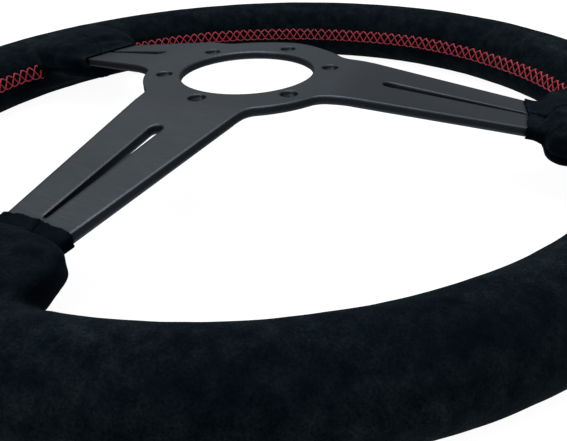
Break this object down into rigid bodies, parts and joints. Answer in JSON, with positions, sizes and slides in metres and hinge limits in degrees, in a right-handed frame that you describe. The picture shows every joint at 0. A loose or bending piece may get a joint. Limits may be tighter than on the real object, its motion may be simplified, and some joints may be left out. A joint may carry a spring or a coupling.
{
  "type": "steering wheel",
  "caption": "Dished suede steering wheel: round padded rim with red cross-laced seams on three slotted, black brushed aluminium spokes round a bolt-on hub with an open centre.",
  "frame": {"origin": "on the steering axis, in the plane that the rim's front touches when the wheel lies face down", "axes": "+Z along the steering axis towards the steering column; +Y towards 12 o'clock; +X to the right as seen from the column"},
  "size_m": [0.35, 0.35, 0.0385],
  "materials": {
    "anodised_plate": "black anodised over fine brushing",
    "core_steel": "plain mild steel, hidden in the grip",
    "rivet": "plain, hidden in the grip",
    "foam": "moulded semi-rigid polyurethane foam, hidden under the suede",
    "suede": "black suede with a short mottled nap",
    "thread": "red waxed polyester thread"
  },
  "bodies": {
    "root": {"spoke_plate": "anodised_plate", "rim_core": "core_steel", "bracket_right": "core_steel", "bracket_left": "core_steel", "bracket_lower": "core_steel", "rivet_right_a": "rivet", "rivet_right_b": "rivet", "rivet_left_a": "rivet", "rivet_left_b": "rivet", "rivet_lower_a": "rivet", "rivet_lower_b": "rivet", "foam_back": "foam", "foam_front": "foam", "suede_panel_upper": "suede", "suede_panel_lower_left": "suede", "suede_panel_lower_right": "suede", "suede_collar_right": "suede", "suede_collar_left": "suede", "suede_collar_lower": "suede", "lacing_upper": "thread", "lacing_lower_left": "thread", "lacing_lower_right": "thread"}
  },
  "joints": []
}
